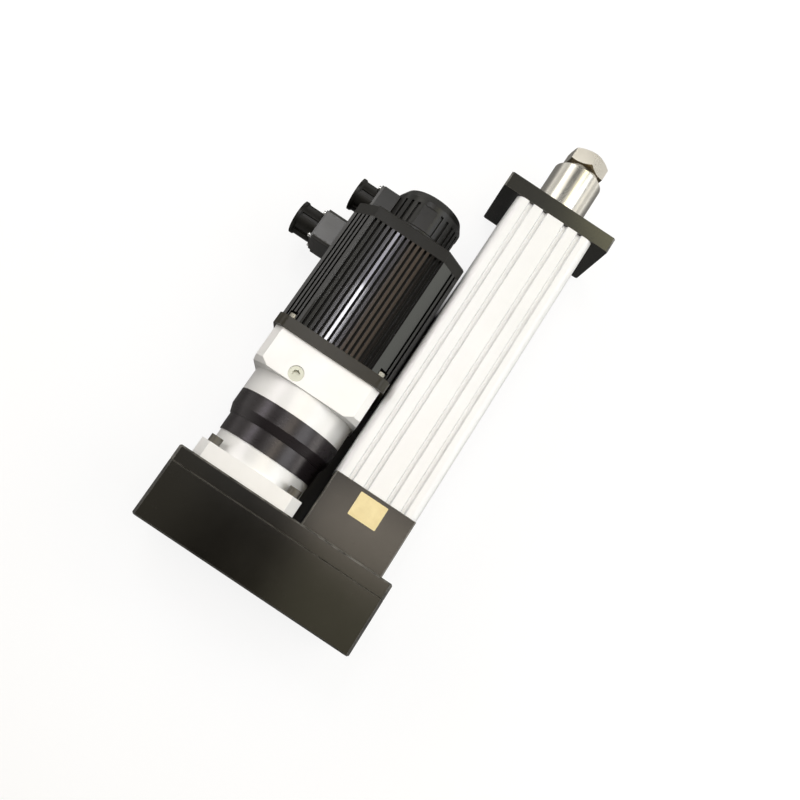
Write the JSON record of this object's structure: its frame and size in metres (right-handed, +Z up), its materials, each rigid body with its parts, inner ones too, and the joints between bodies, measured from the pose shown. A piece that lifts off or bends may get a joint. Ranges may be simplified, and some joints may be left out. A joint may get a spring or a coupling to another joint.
{
  "type": "servo electric cylinder",
  "caption": "Linear actuator with a finned servo motor and planetary gearbox folded back beside a grooved square barrel, joined by a belt housing, with a round push rod and front flange",
  "frame": {"origin": "on the rod axis, in the front face of the front flange, at the middle of its bolt pattern", "axes": "+X along the rod as it comes out, +Y from the cylinder towards the motor, +Z up as it lies on its side, out of the face that the picture shows"},
  "size_m": [0.593, 0.2972, 0.13],
  "materials": {
    "black_anodised": "satin black anodised",
    "silver_anodised": "matte silver anodised extrusion",
    "bright_aluminium": "fine turned and milled, bright",
    "plain_aluminium": "machined",
    "motor_black": "gloss black coated casting and extrusion",
    "blackened_steel": "blackened, semi-gloss",
    "polished_rod": "hard chromed and polished",
    "bearing_steel": "ground",
    "dark_steel": "blackened screws",
    "bright_steel": "bright zinc plated",
    "bush_bronze": "sintered bronze",
    "copper_winding": "enamelled copper",
    "belt_rubber": "matt",
    "seal_rubber": "matt",
    "slide_plastic": "filled sliding plastic",
    "cover_plastic": "moulded, fine texture",
    "cap_plastic": "moulded",
    "connector_grey": "satin dark grey coated"
  },
  "bodies": {
    "housing": {"belt_base_plate": "black_anodised", "belt_cover": "black_anodised", "belt_cover_screws": "dark_steel", "timing_belt": "belt_rubber", "bearing_block": "black_anodised", "block_screws": "dark_steel", "screw_bearing_outer_rings": "bearing_steel", "bearing_retainer": "dark_steel", "rear_bumper": "seal_rubber", "barrel": "silver_anodised", "front_flange": "black_anodised", "front_flange_screws": "dark_steel", "rod_bush": "bush_bronze", "rod_wiper": "seal_rubber", "front_bumper": "seal_rubber", "gearbox_flange": "bright_aluminium", "gearbox_flange_screws": "dark_steel", "output_seal": "seal_rubber", "output_bearing_outer_rings": "bearing_steel", "ring_gear": "blackened_steel", "gearbox_input_housing": "bright_aluminium", "motor_adapter": "bright_aluminium", "access_plug": "bearing_steel", "motor_flange": "motor_black", "motor_flange_screws": "dark_steel", "motor_housing": "motor_black", "motor_rear_plate": "motor_black", "encoder_cover": "cover_plastic", "encoder_body": "slide_plastic", "stator_core": "bearing_steel", "stator_windings": "copper_winding", "motor_bearing_outer_rings": "bearing_steel", "power_connector_box": "connector_grey", "power_connector_shell": "connector_grey", "power_connector_cap": "cap_plastic", "encoder_connector_shell": "connector_grey", "encoder_connector_cap": "cap_plastic", "connector_screws": "bright_steel"},
    "rod": {"rod_tube": "polished_rod", "rod_end": "polished_rod", "ball_nut": "bearing_steel", "guide_piston": "plain_aluminium", "wear_ring": "slide_plastic"},
    "screw": {"ball_screw": "bearing_steel", "driven_pulley": "plain_aluminium", "screw_lock_nut": "dark_steel", "screw_bearing_inner_rings": "bearing_steel"},
    "output": {"planet_carrier": "bearing_steel", "planet_pins": "bearing_steel", "drive_pulley": "plain_aluminium", "output_bearing_inner_rings": "bearing_steel"},
    "planet_1": {"planet_gear_1": "bearing_steel"},
    "planet_2": {"planet_gear_2": "bearing_steel"},
    "planet_3": {"planet_gear_3": "bearing_steel"},
    "rotor": {"rotor_shaft": "bearing_steel", "sun_gear": "bearing_steel", "rotor_magnets": "bearing_steel", "encoder_disc": "bearing_steel", "motor_bearing_inner_rings": "bearing_steel"}
  },
  "joints": [
    {"name": "rotor_turn", "type": "hinge", "parent": "housing", "child": "rotor", "pos_m": [-0.2, 0.1145, 0], "axis": [-1, 0, 0], "range_deg": [0, 36000]},
    {"name": "output_turn", "type": "hinge", "parent": "housing", "child": "output", "pos_m": [-0.4, 0.1145, 0], "axis": [-1, 0, 0], "range_deg": [0, 7200]},
    {"name": "planet_1_turn", "type": "hinge", "parent": "output", "child": "planet_1", "pos_m": [-0.367, 0.14263, 0], "axis": [-1, 0, 0], "range_deg": [-19200, 0]},
    {"name": "planet_2_turn", "type": "hinge", "parent": "output", "child": "planet_2", "pos_m": [-0.367, 0.10044, 0.02436], "axis": [-1, 0, 0], "range_deg": [-19200, 0]},
    {"name": "planet_3_turn", "type": "hinge", "parent": "output", "child": "planet_3", "pos_m": [-0.367, 0.10044, -0.02436], "axis": [-1, 0, 0], "range_deg": [-19200, 0]},
    {"name": "screw_turn", "type": "hinge", "parent": "housing", "child": "screw", "pos_m": [-0.4, 0, 0], "axis": [-1, 0, 0], "range_deg": [0, 7200]},
    {"name": "rod_slide", "type": "slide", "parent": "housing", "child": "rod", "axis": [1, 0, 0], "range_m": [0, 0.2]}
  ],
  "couplings": [
    {"joint": "output_turn", "follows": "rotor_turn", "ratio": 0.2},
    {"joint": "planet_1_turn", "follows": "rotor_turn", "ratio": -0.53333},
    {"joint": "planet_2_turn", "follows": "rotor_turn", "ratio": -0.53333},
    {"joint": "planet_3_turn", "follows": "rotor_turn", "ratio": -0.53333},
    {"joint": "screw_turn", "follows": "rotor_turn", "ratio": 0.2},
    {"joint": "rod_slide", "follows": "rotor_turn", "m_per_rad": 0.00031831}
  ]
}
